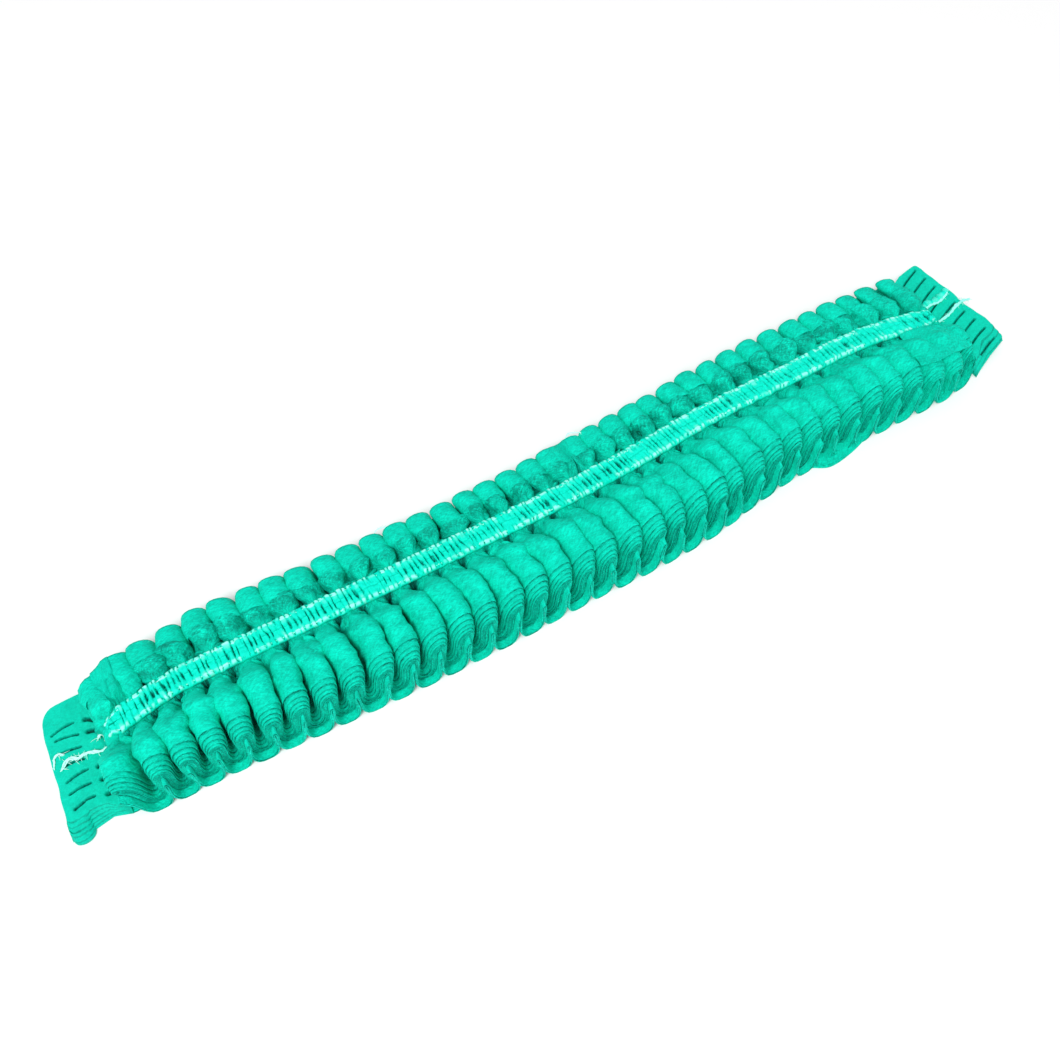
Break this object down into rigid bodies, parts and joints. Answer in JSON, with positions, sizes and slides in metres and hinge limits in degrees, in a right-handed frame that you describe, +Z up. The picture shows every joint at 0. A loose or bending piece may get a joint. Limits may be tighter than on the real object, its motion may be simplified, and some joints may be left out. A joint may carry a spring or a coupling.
{
  "type": "disposable hair cover strip cap",
  "caption": "Disposable nonwoven hair cover folded and gathered into a flat pleated strip, with ruched elastic hems on top and welded end tabs.",
  "frame": {"origin": "middle of the whole strip's footprint, on the surface that it lies on", "axes": "+X along the strip from the left tab to the right tab, +Y from the layered front edges to the back edges, +Z up"},
  "size_m": [0.3012, 0.0494, 0.0133],
  "materials": {
    "cloth": "thin spunbond nonwoven polypropylene, matt with a faint fibre sheen",
    "hem_cloth": "the same nonwoven, gathered tight over the elastic so that light catches its ridges",
    "welded_cloth": "layers of nonwoven fused by ultrasonic welding, slightly glazed, with pressed bars",
    "elastic": "pale covered elastic thread with fuzzy cut ends"
  },
  "bodies": {
    "root": {"pleated_crown": "cloth", "hem_front": "hem_cloth", "hem_back": "hem_cloth", "elastic_front": "elastic", "elastic_back": "elastic", "tab_left": "welded_cloth", "tab_right": "welded_cloth"}
  },
  "joints": []
}
